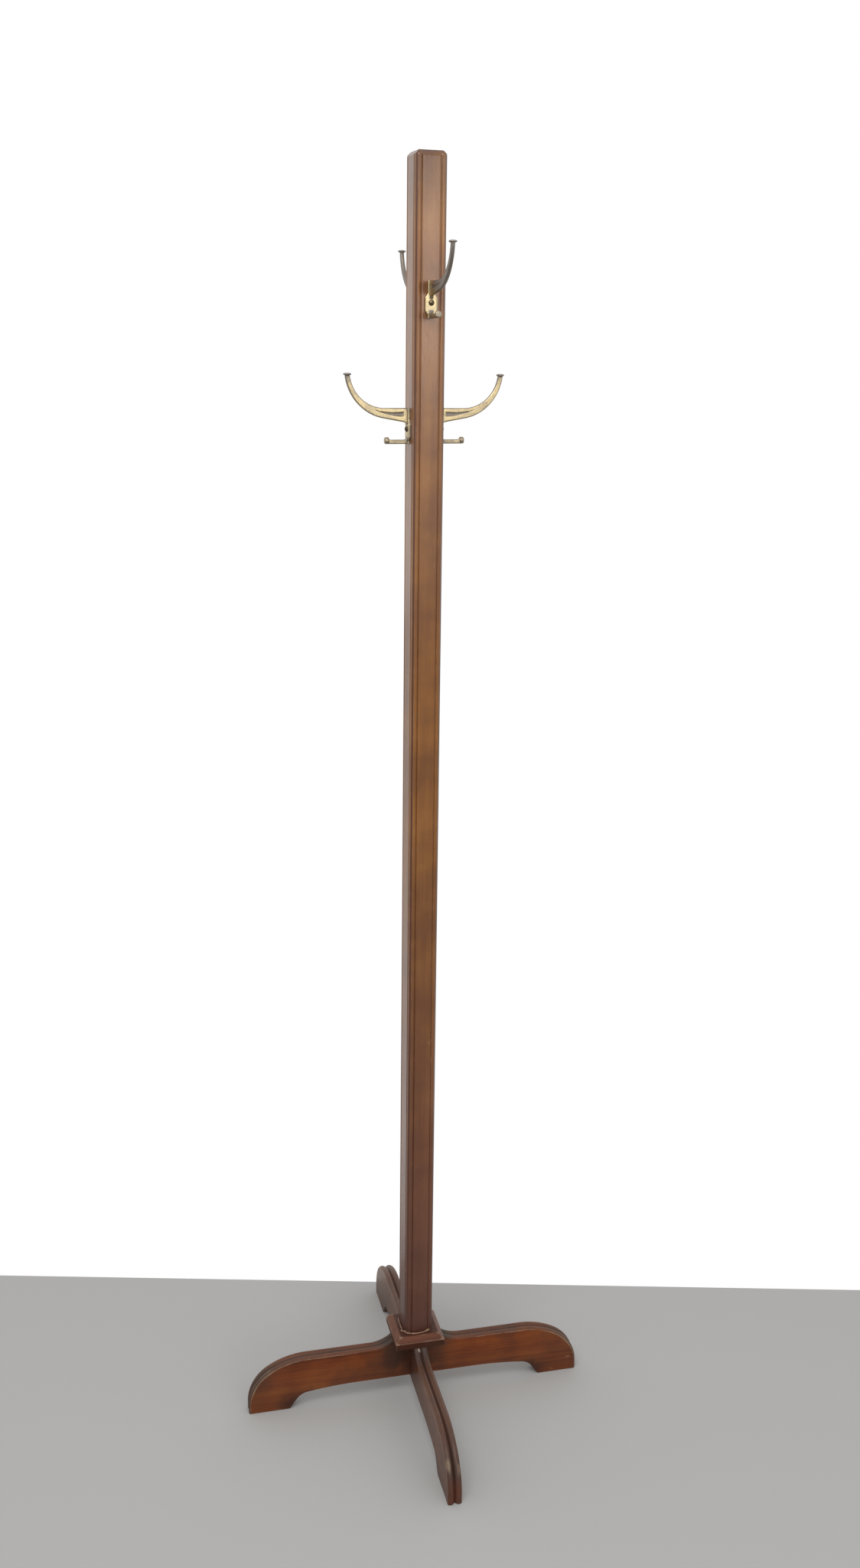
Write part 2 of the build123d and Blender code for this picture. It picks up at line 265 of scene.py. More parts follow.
plateLook = Values(
    grain="X", seed=5.2, streak=0.4, fleck=0.2, mottle=0.5, poreStrength=0.3, blotch=0.25,
    deep=(0.078, 0.021, 0.008), mid=(0.120, 0.034, 0.013), pale=(0.160, 0.055, 0.024),
    pore=(0.040, 0.018, 0.011), bare=(0.32, 0.21, 0.14), grimeColour=(0.040, 0.014, 0.007),
    wearScale=60.0, wearSoftness=0.5, wearStrength=0.55, grimeStrength=0.9, nicks=0.4,
    roughness=0.40, coat=0.04, specular=0.22, spots=[],
)
# dirt and painted shade where the rails cross under the plate
crossingDirtAndShade = (0.046, 0.020, 0.012)
padStain = (0.040, 0.016, 0.010)
railLook = Values(
    grain="X", seed=8.4, streak=0.45, fleck=0.2, mottle=0.7, poreStrength=0.3, blotch=0.38,
    deep=(0.110, 0.022, 0.004), mid=(0.205, 0.044, 0.006), pale=(0.290, 0.078, 0.012),
    pore=(0.060, 0.017, 0.007), bare=(0.46, 0.31, 0.19),
    grimeColour=(0.062, 0.043, 0.030), blotchColour=(0.046, 0.022, 0.015),
    wearScale=55.0, wearSoftness=0.45, wearStrength=0.75, grimeStrength=0.95, nicks=0.3,
    roughness=0.38, coat=0.04, specular=0.28,
    spots=[((-0.016, 0, 0.072), (0.078, 0.085, 0.060), 0.8, crossingDirtAndShade)]
    + [((x, 0, 0.008), (0.045, 0.04, 0.034), 0.9, padStain) for x in (-0.186, 0.186)],
)
railDeepLook = Values({
    **railLook, "grain": "Y", "seed": 12.9, "specular": 0.42, "roughness": 0.36,
    "deep": (0.070, 0.020, 0.006), "mid": (0.115, 0.035, 0.011), "pale": (0.165, 0.057, 0.019),
    "grimeColour": (0.046, 0.022, 0.015),
    "spots": [((0, 0, 0.072), (0.085, 0.085, 0.060), 0.8, crossingDirtAndShade)]
    + [((0, y, 0.008), (0.04, 0.045, 0.034), 0.9, padStain) for y in (-0.186, 0.186)]
    + [
        # the back end is made lighter and greyer: painted sheen
        ((0, 0.25, 0.06), (0.04, 0.10, 0.08), 0.4, (0.205, 0.125, 0.075)),
        ((0, -0.262, 0.012), (0.030, 0.030, 0.034), 0.85, (0.115, 0.033, 0.014)),
        ((-0.0070, -0.2455, 0.055), (0.0045, 0.0120, 0.0120), 0.38, (0.36, 0.26, 0.16)),
        ((0.0085, -0.2490, 0.049), (0.0035, 0.0090, 0.0100), 0.45, (0.30, 0.21, 0.13)),
        ((-0.0019, -0.0398, 0.0942), (0.0040, 0.0040, 0.0046), 1.0, (0.40, 0.33, 0.26)),
    ],
})
postWood = polishedWood("postWood", postLook)
plateWood = polishedWood("plateWood", plateLook)
railWoodAcross = polishedWood("railWoodAcross", railLook)
railWoodDeep = polishedWood("railWoodDeep", railDeepLook)


# cast brass, bright where it is handled and dull olive brown elsewhere

hookBrassLook = Values(
    bright=(0.52, 0.415, 0.235), worn=(0.42, 0.340, 0.215), tarnish=(0.230, 0.200, 0.172),
    dullness=0.06, patches=0.5, roughness=0.31,
)
screwBrassLook = Values(
    bright=(0.42, 0.33, 0.18), worn=(0.22, 0.165, 0.09), tarnish=(0.07, 0.052, 0.032),
    dullness=0.16, patches=1.0, roughness=0.38,
)
brassPattern = Values(
    patch=(55.0, 5.0), speck=(420.0, 3.0), grain=(160.0, 3.0), toneStops=(0.0, 0.45, 1.0),
    speckShare=0.35, grimeShare=0.55, wearShare=-0.30, dullEdge=(0.34, 0.86), dullRough=0.14,
    grainRelief=0.8, speckRelief=0.35, relief=(0.22, 0.0005),
)


def agedBrass(name, look):
    material, tree = newMaterial(name, look.bright)
    place, b = objectPlace(tree), brassPattern
    patch = times(minus(cloud(place, *b.patch), 0.5), look.patches)
    speck = cloud(place, *b.speck)
    dull = timesPlus(minus(speck, 0.5), b.speckShare, patch)
    dull = plus(dull, look.dullness + 0.5)
    dull = timesPlus(surfaceValue(tree, "grime"), b.grimeShare, dull)
    dull = timesPlus(surfaceValue(tree, "wear"), b.wearShare, dull)
    dull = ease(dull, *b.dullEdge)
    grainy = timesPlus(cloud(place, *b.grain), b.grainRelief, times(speck, b.speckRelief))
    stops = list(zip(b.toneStops, (look.bright, look.worn, look.tarnish)))
    shadeWith(tree, {
        "Base Color": colourStops(dull, stops), "Metallic": 1.0,
        "Roughness": timesPlus(dull, b.dullRough, look.roughness),
        "Normal": bumpFrom(grainy, *b.relief),
    })
    return material


hookBrass = agedBrass("hookBrass", hookBrassLook)
screwBrass = agedBrass("screwBrass", screwBrassLook)


# plain steel with a little rust, and dried glue

steelLook = Values(
    colour=(0.46, 0.46, 0.45), rust=(0.20, 0.15, 0.11), mark=(300.0, 4.0), rustEdge=(0.35, 0.7),
    roughness=0.25, roughSpread=0.3, relief=(0.2, 0.0004),
)
glueLook = Values(
    dark=(0.13, 0.062, 0.036), pale=(0.36, 0.205, 0.135), patch=(130.0, 4.0), grain=(500.0, 3.0),
    darkStop=0.32, paleStop=0.60, roughness=0.28, roughSpread=0.3, relief=(0.3, 0.0005),
)


def plainSteel(name, look):
    material, tree = newMaterial(name, look.colour)
    mark = cloud(objectPlace(tree), *look.mark)
    shadeWith(tree, {
        "Base Color": blend(ease(mark, *look.rustEdge), (*look.colour, 1), (*look.rust, 1)),
        "Metallic": 1.0, "Roughness": timesPlus(mark, look.roughSpread, look.roughness),
        "Normal": bumpFrom(mark, *look.relief),
    })
    return material


def driedGlue(name, look):
    material, tree = newMaterial(name, look.pale)
    place = objectPlace(tree)
    patch = cloud(place, *look.patch)
    shadeWith(tree, {
        "Base Color": colourStops(patch, ((look.darkStop, look.dark), (look.paleStop, look.pale))),
        "Roughness": timesPlus(patch, look.roughSpread, look.roughness),
        "Normal": bumpFrom(cloud(place, *look.grain), *look.relief),
    })
    return material


postScrewSteel = plainSteel("postScrewSteel", steelLook)
glueMaterial = driedGlue("glueMaterial", glueLook)
print("materials made:", len(bpy.data.materials))


# helpers for geometry trees

def newTree(name, inputs):
    tree = bpy.data.node_groups.new(name, "GeometryNodeTree")
    for label, kind in [("Geometry", "Geometry"), *inputs]:
        tree.interface.new_socket(name=label, in_out="INPUT", socket_type="NodeSocket" + kind)
    tree.interface.new_socket(name="Geometry", in_out="OUTPUT", socket_type="NodeSocketGeometry")
    return tree, tree.nodes.new("NodeGroupInput").outputs


def grow(kind, inputs):
    return wire("GeometryNode" + kind, inputs).outputs[0]


def endTree(geometry, finish):
    whole = grow("RealizeInstances", [geometry])
    coated = grow("SetMaterial", {"Geometry": whole, "Material": finish})
    return wire("NodeGroupOutput", [coated]).id_data


def pathValue(tree, name, kind="FLOAT"):
    node = addNode(tree, "GeometryNodeInputNamedAttribute", {"Name": name}, data_type=kind)
    return node.outputs["Attribute"]


def keepValue(geometry, name, value):
    inputs = {"Geometry": geometry, "Name": name, "Value": value}
    return wire("GeometryNodeStoreNamedAttribute", inputs, data_type="FLOAT", domain="POINT").outputs[0]


def bakedMesh(source):
    graph = bpy.context.evaluated_depsgraph_get()
    shown = source.evaluated_get(graph)
    return bpy.data.meshes.new_from_object(shown, preserve_all_data_layers=True, depsgraph=graph)


def grownMesh(name, source, tree, values):
    modifier = source.modifiers.new("build", "NODES")
    modifier.node_group = tree
    for item in tree.interface.items_tree:
        if item.in_out == "INPUT" and item.name in values:
            modifier[item.identifier] = values[item.name]
    mesh = bakedMesh(source)
    source.modifiers.remove(modifier)
    mesh.name = name
    return mesh


def addObject(name, data):
    thing = bpy.data.objects.new(name, data)
    scene.collection.objects.link(thing)
    return thing


def dropObjects(*things):
    for thing in things:
        data = thing.data
        bpy.data.objects.remove(thing)
        bpy.data.meshes.remove(data)


def lineObject(name, points, closed, floats, vectors=None):
    count = len(points)
    edges = [(i, (i + 1) % count) for i in range(count if closed else count - 1)]
    mesh = bpy.data.meshes.new(name)
    mesh.from_pydata(points, edges, [])
    for label, values in floats.items():
        mesh.attributes.new(label, "FLOAT", "POINT").data.foreach_set("value", [float(v) for v in values])
    for label, values in (vectors or {}).items():
        flat = [float(c) for v in values for c in v]
        mesh.attributes.new(label, "FLOAT_VECTOR", "POINT").data.foreach_set("vector", flat)
    return addObject(name, mesh)


# A moulding run round a path. Each path point has its spot, the way out of the wood and the way into it.
# Each row of the section has its place across, how far out it is on a plain and a reeded edge, and how deep.
pathFloats = ("reeded", "pathWear", "pathGrime", "pathRub")
pathVectors = ("spot", "outward", "inward")
rowFloats = ("across", "plainOut", "reededOut", "deep", "rowWear", "rowGrime")


def mouldingNodes():
    inputs = [("Section", "Object"), ("Sideways", "Vector"), ("Finish", "Material")]
    tree, given = newTree("mouldingTree", inputs)
    value = {k: pathValue(tree, k) for k in pathFloats + rowFloats}
    value.update({k: pathValue(tree, k, "FLOAT_VECTOR") for k in pathVectors})
    pathCurve = grow("MeshToCurve", [given["Geometry"]])
    section = wire("GeometryNodeObjectInfo", {"Object": given["Section"]}).outputs["Geometry"]
    sectionCurve = grow("MeshToCurve", [section])
    swept = grow("CurveToMesh", {"Curve": pathCurve, "Profile Curve": sectionCurve})
    reeding = minus(value["reededOut"], value["plainOut"])
    outBy = timesPlus(reeding, value["reeded"], value["plainOut"])
    spot = value["spot"]
    ways = (value["outward"], given["Sideways"], value["inward"])
    for way, reach in zip(ways, (outBy, value["across"], value["deep"])):
        spot = vectorCalc("ADD", spot, vectorCalc("SCALE", way, reach))
    shaped = grow("SetPosition", {"Geometry": swept, "Position": spot})
    wear = timesPlus(value["rowWear"], value["pathRub"], value["pathWear"])
    # grime from the rows and the path, which on some edges is painted shade
    grime = timesPlus(value["rowGrime"], value["reeded"], value["pathGrime"])
    shaped = keepValue(keepValue(shaped, "wear", wear), "grime", grime)
    return endTree(shaped, given["Finish"])


mouldingTree = mouldingNodes()


def runMoulding(name, path, section, sideways, finish):
    count = len(path["spot"])
    floats = {k: path.get(k, [0.0] * count) for k in pathFloats}
    vectors = {k: path.get(k, [(0, 0, 0)] * count) for k in pathVectors}
    rows = {k: [row.get(k, 0.0) for row in section] for k in rowFloats}
    pathLine = lineObject(name + "Path", path["spot"], True, floats, vectors)
    sectionLine = lineObject(name + "Section", [(0, i * mm, 0) for i in range(len(section))], False, rows)
    values = {"Section": sectionLine, "Sideways": sideways, "Finish": finish}
    mesh = grownMesh(name, pathLine, mouldingTree, values)
    dropObjects(pathLine, sectionLine)
    for label in pathFloats + pathVectors + rowFloats:
        if label in mesh.attributes:
            mesh.attributes.remove(mesh.attributes[label])
    return mesh


# helpers for meshes and outlines

weldGap = 1e-6  # in metres
slack = 0.01  # in millimetres


def weldedShell(mesh):
    shell = bmesh.new()
    shell.from_mesh(mesh)
    bmesh.ops.remove_doubles(shell, verts=shell.verts, dist=weldGap)
    return shell


def shutShell(shell, mesh):
    shell.to_mesh(mesh)
    shell.free()
    return mesh


def closedShell(mesh):
    shell = weldedShell(mesh)
    rim = [e for e in shell.edges if e.is_boundary]
    made = bmesh.ops.holes_fill(shell, edges=rim, sides=0)["faces"]
    bmesh.ops.triangulate(shell, faces=made)
    bmesh.ops.recalc_face_normals(shell, faces=shell.faces)
    return shutShell(shell, mesh)


def splitFaces(shell):
    bmesh.ops.triangulate(shell, faces=[f for f in shell.faces if len(f.verts) > 4])


def drawRim(shell, rim):
    # a new ring of points drawn out of an open rim, and the open edges between them
    twin = {}
    for vert in (v for edge in rim for v in edge.verts):
        if vert not in twin:
            twin[vert] = shell.verts.new(vert.co, vert)
    drawn = []
    for edge in rim:
        loop = edge.link_loops[0]
        a, b = loop.link_loop_next.vert, loop.vert
        shell.faces.new((a, b, twin[b], twin[a]))
        drawn.append(shell.edges.get((twin[a], twin[b])))
    return list(twin.values()), drawn


def placePiece(name, mesh, sharpAngle, finish, slotName, *cadNames):
    mesh.shade_smooth()
    mesh.set_sharp_from_angle(angle=radians(sharpAngle))
    mesh.validate()
    mesh.materials.clear()
    mesh.materials.append(finish)
    piece = addObject(name, mesh)
    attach(piece, "root")
    if cadNames:
        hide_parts(*cadNames)


def arcPoints(centre, radius, startAngle, sweepAngle, steps):
    angles = [radians(startAngle + sweepAngle * i / steps) for i in range(steps + 1)]
    return [(centre[0] + radius * cos(a), centre[1] + radius * sin(a)) for a in angles]


def roundedCorner(before, corner, after, radius, steps):
    corner = Vector(corner)
    a, b = ((Vector(p) - corner).normalized() for p in (before, after))
    half = a.angle(b) / 2
    reach = radius * cos(half) / sin(half)
    middle = corner + (a + b).normalized() * radius / sin(half)
    first, last = corner + a * reach - middle, corner + b * reach - middle
    turn = first.angle_signed(last)
    return [tuple(middle + Matrix.Rotation(-turn * i / steps, 2) @ first) for i in range(steps + 1)]


def outwardOf(points):
    # averaged normals of a closed clockwise outline, in its own plane
    normals = []
    for before, after in zip(points[-1:] + points, points[1:] + points[:1]):
        dx, dy = after[0] - before[0], after[1] - before[1]
        length = hypot(dx, dy) or 1.0
        normals.append((-dy / length, dx / length))
    return normals


def smoothStep(value, low, high):
    u = max(0.0, min(1.0, (value - low) / (high - low)))
    return u * u * (3 - 2 * u)


# foot rails: an arched board with a double reed along its top edge

railSizes = Values(
    span=521.0, thickness=20.5, top=85.0, seat=97.0, plateHalf=38.0, coveRadius=50.0,
    toeUpperRadius=115.0, toeUpperTurn=30.0, toeTip=12.5, padLength=62.5, padInset=5.0,
    flankRun=17.0, flankRise=24.0, flankRadius=24.0,
    arch=30.5, archShoulder=51.0, archRadius=600.0, crossing=9.0, crossingLift=0.3,
    reedDrop=2.6, reedOver=0.3, reedRows=12, grooveWidth=2.6, grooveDepth=4.2,
    arris=0.6, edgeDrop=0.35, cheekDepth=6.0, sharp=38,
    underRub=0.55, plateRub=0.35, rubSpan=(60, 110), toeLength=75, toeEnd=8,
    toeWear=0.45, toeWearSpan=(14, 48), underWear=0.12, crestWear=0.34, crestWidth=2.6, arrisWear=0.7,
    # the cove's grime near the plate is partly painted shade
    coveGrime=0.8, coveReach=26, toeGrime=0.3, underGrime=0.25,
    grooveGrime=0.8, lipGrime=0.7, reedGrime=0.52, reedFootGrime=0.25, reedFootWidth=2.2,
)


def railOutline(s):
    half = s.span / 2
    rise = s.seat - s.top
    coveAngle = degrees(acos((s.coveRadius - rise) / s.coveRadius))
    coveEnd = s.plateHalf + sqrt(2 * s.coveRadius * rise - rise**2)
    upper, turn, tip = s.toeUpperRadius, s.toeUpperTurn, s.toeTip
    lower = upper - (tip - s.top + upper) / cos(radians(turn))
    toeStart = half - lower - (upper - lower) * sin(radians(turn))
    top = arcPoints((coveEnd, s.top + s.coveRadius), s.coveRadius, 270 - coveAngle, coveAngle, 16)
    top += [(coveEnd + (toeStart - coveEnd) * i / 8, s.top) for i in range(1, 9)]
    top += arcPoints((toeStart, s.top - upper), upper, 90, -turn, 14)[1:]
    top += arcPoints((half - lower, tip), lower, 90 - turn, turn - 90, 18)[1:]
    top += [(half, tip * (1 - i / 4)) for i in range(1, 5)]
    padIn = half - s.padLength
    shoulder = (padIn - s.flankRun, s.flankRise)
    crown = (shoulder[0] - s.archShoulder, s.arch)
    padStart = half - s.padInset
    under = [(padStart - (padStart - padIn) * i / 8, 0.0) for i in range(9)]
    under += [(padIn - s.flankRun * i / 12, s.flankRise * i / 12) for i in range(1, 4)]
    under += roundedCorner((padIn, 0), shoulder, crown, s.flankRadius, 12)
    under += roundedCorner(shoulder, crown, (0, s.arch), s.archRadius, 10)
    under += [(crown[0] * 0.6, s.arch), (crown[0] * 0.2, s.arch)]
    return top, under


def railPath(s, turned):
    top, under = railOutline(s)
    seat = [(s.plateHalf * 0.5, s.seat), (s.plateHalf - 1.5, s.seat)]
    under.append((s.crossing, s.arch + (s.crossingLift if turned else 0.0)))
    right = [(p, 0.0) for p in seat] + [(p, 1.0) for p in top] + [(p, 0.0) for p in under]
    rows = right + [((-x, z), flag) for (x, z), flag in reversed(right)]
    half, depth = s.span / 2, s.cheekDepth
    padIn = half - s.padLength
    path = {k: [] for k in ("spot", "outward", "inward", "reeded", "pathRub", "pathGrime", "pathWear")}

    def lay(x, z, unit=mm):
        return (0.0, x * unit, z * unit) if turned else (x * unit, 0.0, z * unit)

    for ((x, z), flag), normal in zip(rows, outwardOf([p for p, flag in rows])):
        away, side, onFloor = abs(x), 1.0 if x > 0 else -1.0, z < slack
        if half - away < slack:
            normal = (side, 0.0)
        elif onFloor:
            normal = (0.0, -1.0)
        elif not flag and z > s.seat - slack:
            normal = (0.0, 1.0)
        coreX, coreZ = x - normal[0] * depth, max(z - normal[1] * depth, depth)
        if onFloor:
            coreX = side * min(max(abs(coreX), padIn + depth * 0.8), half - depth)
        toe = smoothStep(away, half - s.toeLength, half - s.toeEnd)
        rub, wear, grime = s.underRub, s.underWear * toe, s.underGrime
        if flag:
            cove = max(0.0, 1 - abs(away - s.plateHalf) / s.coveReach)
            rub = s.plateRub + (1 - s.plateRub) * smoothStep(away, *s.rubSpan)
            wear = s.toeWear * smoothStep(z, *s.toeWearSpan) * toe
            # near the plate the reeds darken: grime and painted shade under the plate
            grime = s.coveGrime * cove + s.toeGrime * toe
        here = (lay(x, z), lay(*normal, 1.0), lay(coreX - x, coreZ - z), flag, rub, grime, wear)
        for column, value in zip(path.values(), here):
            column.append(value)
    return path


def railSection(s):
    half, lip = s.thickness / 2, s.grooveWidth / 2
    drop, arris, last = s.reedDrop, s.arris, s.reedRows
    chord = (half + s.reedOver - lip) / 2
    middle = lip + chord
    radius = (chord**2 + drop**2) / (2 * drop)
    rows = [
        {"across": 0.0, "reededOut": -s.grooveDepth, "rowGrime": s.grooveGrime},
        {"across": lip * 0.45, "reededOut": -s.grooveDepth * 0.86, "rowGrime": s.grooveGrime},
        {"across": lip, "reededOut": -drop, "rowGrime": s.lipGrime},
    ]
    for i in range(1, last + 1):
        across = lip + (half - arris / 5 - lip) * i / last
        crest = max(0.0, 1 - abs(across - middle) / s.crestWidth)
        foot = max(0.0, 1 - (across - lip) / s.reedFootWidth)
        rows.append({
            "across": across, "reededOut": -radius + sqrt(radius**2 - (across - middle) ** 2),
            "rowWear": s.crestWear * crest, "rowGrime": s.reedGrime + s.reedFootGrime * foot,
        })
    rows[-1]["plainOut"] = -arris / 2
    rows[-1]["rowWear"] += s.arrisWear
    edge = rows[-1]["reededOut"] - s.edgeDrop
    for share, wear, grime in ((0.0, 0.85, 0.2), (0.12, 0.7, 0), (0.26, 0.3, 0), (0.5, 0, 0), (1.0, 0, 0)):
        rows.append({
            "across": half, "reededOut": edge * (1 - share), "plainOut": -arris * (1 - share), "deep": share,
            "rowWear": wear, "rowGrime": grime,
        })
    for row in rows:
        row.update({k: row.get(k, 0.0) * mm for k in ("across", "reededOut", "plainOut")})
    return [{**row, "across": -row["across"]} for row in reversed(rows[1:])] + rows


def buildRail(name, turned, finish, cadName):
    sideways = (1.0, 0.0, 0.0) if turned else (0.0, 1.0, 0.0)
    path, section = railPath(railSizes, turned), railSection(railSizes)
    mesh = closedShell(runMoulding(name, path, section, sideways, finish))
    placePiece(name, mesh, railSizes.sharp, finish, "rail_wood", cadName)


buildRail("footRailLeftRight", False, railWoodAcross, "foot_rail_left_right")
buildRail("footRailFrontBack", True, railWoodDeep, "foot_rail_front_back")
print("foot rails run")


# collar plate: a square block with a wide bevel, the same moulding tree run round a square

plateSizes = Values(
    half=38.0, low=97.0, edge=9.5, bevel=8.0, corner=0.7, postHalf=20.0, bore=13.0,
    perSide=12, cornerWear=0.75, sharp=30,
)


def platePath(s):
    path = {"spot": [], "outward": [], "pathWear": []}
    for turn in range(4):
        spin = Matrix.Rotation(radians(90 * turn), 3, "Z")
        for i in range(s.perSide + 1):
            share = 2 * i / s.perSide - 1
            path["spot"].append(tuple(spin @ Vector((s.half, (s.half - s.corner) * share, 0)) * mm))
            path["outward"].append(tuple(spin @ Vector((1, share, 0))))
            path["pathWear"].append(s.cornerWear if abs(share) == 1 else 0.0)
    path["pathRub"] = path["reeded"] = [1.0] * len(path["spot"])
    return path


def plateSection(s):
    # how far out, height, wear and grime, from the underside round to the top; the grime up the upright edge
    # is painted shade, as that edge gets less light from above
    low, ledge, inner = s.low, s.low + s.edge, -s.bevel
    top, bore = ledge + s.bevel, s.bore - s.half
    rows = [
        (bore, low, 0, 0), (-0.5, low, 0.2, 0.9), (0, low + 0.5, 0.2, 0.9), (0, low + 3, 0, 0.8),
        (0, ledge - 2, 0, 0.7), (0, ledge - 0.6, 0.3, 0.6), (-0.15, ledge - 0.1, 0.8, 0),
        (-0.6, ledge + 0.45, 0.7, 0), (-2.2, ledge + 2.2, 0, 0), (inner + 2.2, top - 2.2, 0, 0),
        (inner + 0.5, top - 0.45, 0.55, 0), (inner - 0.1, top - 0.08, 0.6, 0.1),
        (inner - 0.7, top, 0.2, 0.55), (inner - 2.5, top, 0, 0.8), (inner - 6, top, 0, 1.0),
        (s.postHalf - s.half, top, 0, 1.0), (bore, top, 0, 1.0),
    ]
    labels = ("reededOut", "across", "rowWear", "rowGrime")
    return [dict(zip(labels, (out * mm, z * mm, wear, grime))) for out, z, wear, grime in rows]


upward = (0.0, 0.0, 1.0)
plateRun = runMoulding("collarPlate", platePath(plateSizes), plateSection(plateSizes), upward, plateWood)
placePiece("collarPlate", closedShell(plateRun), plateSizes.sharp, plateWood, "post_wood", "collar_plate")
print("collar plate run")


# post: one moulded section, quirked and beaded at the corners, run up to a hipped head

postSizes = Values(
    half=21.0, foot=114.5, head=1800.0, turn=5.0, chamfer=3.0, bead=4.6, beadDrop=0.7,
    quirk=1.4, quirkDepth=1.3, headRun=5.0, headDrop=5.5, headSoft=1.0, headRoom=12.0,
    rows=60, sharp=28,
)


def postCorner(s):
    # half of one corner, from the middle of a face to the mitre: across, out, wear, grime
    half, drop = s.half, s.beadDrop
    beadEnd = half - s.chamfer
    beadStart = beadEnd - s.bead
    fieldEnd = beadStart - s.quirk
    points = [
        (0.0, half, 0, 0), (fieldEnd * 0.55, half, 0, 0), (fieldEnd - 2.2, half, 0, 0),
        (fieldEnd - 0.5, half, 0.35, 0.1), (fieldEnd - 0.05, half - 0.1, 0.55, 0.2),
    ]
    points += [(fieldEnd + s.quirk * share, half - s.quirkDepth, 0, 0.2) for share in (0.4, 0.65)]
    for i in range(9):
        u = i / 8
        side = 2 * u - 1
        wear, grime = 1.3 * max(abs(side) - 0.4, 0), max(0, 0.4 - u * 4)
        points.append((beadStart + s.bead * u, half - drop * side**2, wear, grime))
    slope = half - drop - beadEnd
    # down the chamfer the colour darkens: grime and painted shade
    for share, wear, grime in ((0.05, 0.4, 0.3), (0.16, 0.0, 0.95), (0.4, 0.0, 1.0)):
        points.append((beadEnd + slope * share, half - drop - slope * share, wear, grime))
    return points


def postPath(s):
    corner = postCorner(s)
    quarter = (corner + [(y, x, wear, grime) for x, y, wear, grime in reversed(corner)])[:-1]
    path = {"spot": [], "pathWear": [], "pathGrime": []}
    for turn in range(4):
        spin = Matrix.Rotation(radians(-90 * turn), 2)
        path["spot"] += [(*(spin @ Vector((x, y)) * mm), 0.0) for x, y, wear, grime in quarter]
        path["pathWear"] += [wear for x, y, wear, grime in quarter]
        path["pathGrime"] += [grime for x, y, wear, grime in quarter]
    return path


def postRows(s):
    rise = s.head - s.headRoom - s.foot
    levels = [s.foot + rise * i / s.rows for i in range(s.rows + 1)]
    levels += [s.head - s.headDrop - s.headSoft * share for share in (2, 1)]
    return [{"across": z * mm} for z in [*levels, s.head]]


def hippedHead(mesh, s):
    shell = weldedShell(mesh)
    head, half, bevel, soft = (s[k] * mm for k in ("head", "half", "headRun", "headSoft"))
    slope = s.headDrop / s.headRun
    grimeLayer = shell.verts.layers.float["grime"]
    rim = [e for e in shell.edges if e.is_boundary and e.verts[0].co.z > head / 2]
    outer = {v for e in rim for v in e.verts}
    rings = []
    # the bevel rings darken: grime and painted shade
    for inset, grime in ((soft, 0.3), (bevel - soft, 0.75), (bevel, 0.95), (bevel + soft, 0.75)):
        ring, rim = drawRim(shell, rim)
        rings.append(ring)
        limit = half - inset
        for vert in ring:
            vert.co.xy = (max(-limit, min(limit, c)) for c in vert.co.xy)
            vert[grimeLayer] = grime
    for vert in shell.verts:
        reach = max(abs(vert.co.x), abs(vert.co.y)) - half + bevel
        vert.co.z = min(vert.co.z, head - max(0.0, reach) * slope)
    bmesh.ops.remove_doubles(shell, verts=shell.verts, dist=weldGap)

    # the two edges of the bevel are eased
    for vert in (v for v in rings[2] if v.is_valid):
        vert.co.z -= soft * 0.25
    shrink = 1 - soft * 0.2 / half
    for vert in (v for v in outer if v.is_valid):
        vert.co = (vert.co.x * shrink, vert.co.y * shrink, vert.co.z - soft * 0.1)
    return closedShell(shutShell(shell, mesh))


postRun = runMoulding("post", postPath(postSizes), postRows(postSizes), upward, postWood)
postMesh = hippedHead(postRun, postSizes)
postMesh.transform(Matrix.Rotation(radians(postSizes.turn), 4, "Z"))
placePiece("postBody", postMesh, postSizes.sharp, postWood, "post_wood", "post")
print("post run")


# cast hooks: plate, curved arm with a sunk panel on each side and a button, short arm with a knob

hookSizes = Values(
    plateHeight=45.5, plateWide=16.5, plateNarrow=9.0, plateThick=3.0, plateChamfer=0.7,
    plateCorner=1.0, plateCells=7, shoulderTop=15.5, shoulderSlope=5.0, wideHeight=16.5,
    root=1.0, reach=83.0, armThick=4.8, armRound=1.7, armSteps=84, innerRadius=46.4,
    outerRadius=62.3, neck=6.6, lean=7.0, rootSlope=10.0, gusset=4.0,
    panelStart=9.0, panelEnd=46.0, panelDepth=1.0, panelHigh=-5.2, panelLow=-10.6,
    panelTip=-2.6, panelSag=6.4, panelLead=2.0, panelFoot=1.0, panelEase=(-0.35, 0.75),
    button=10.4, buttonNeck=4.2, buttonRim=2.2, buttonCrown=0.6, buttonFlare=4.2,
    pegThick=5.5, pegInset=0.1, pegReach=28.0, pegGusset=4.0, pegUpturn=2.6, pegRound=1.2,
    pegSteps=40, pegOverlap=0.6, pegWaist=0.10, waistIn=(6, 14), waistEnd=26.0, waistFade=8.0,
    knob=8.8, knobLength=5.2, knobSoft=1.6, tip=0.05, armCells=(4, 3, 20), pegCells=(4, 3, 5), sharp=42,
    plateShade=8.0, plateFade=6.0, dullSpan=(0.05, 0.35), endSpan=(0.80, 1.0), endDull=0.3, endTarnish=0.8,
    edgeSpan=(0.80, 1.0), panelGrime=0.55, rootGrime=0.45, edgeGrime=0.5, armWear=0.5, wornDent=0.2,
    dullLoss=0.6, pegWear=0.2, pegGrime=0.2, pegRootGrime=0.35, buttonWear=0.1, buttonGrime=0.5,
    buttonTarnish=0.6, knobWear=0.3, knobGrime=0.3, knobTarnish=0.2, seamGrime=0.2,
)
# each hook has its turn, the height of its top and how tarnished it is
hookPlaces = {
    "front": (270, 1646.0, 0.7), "back": (90, 1646.0, 0.8),
    "left": (180, 1489.5, 0.18), "right": (0, 1489.5, 0.12),
}


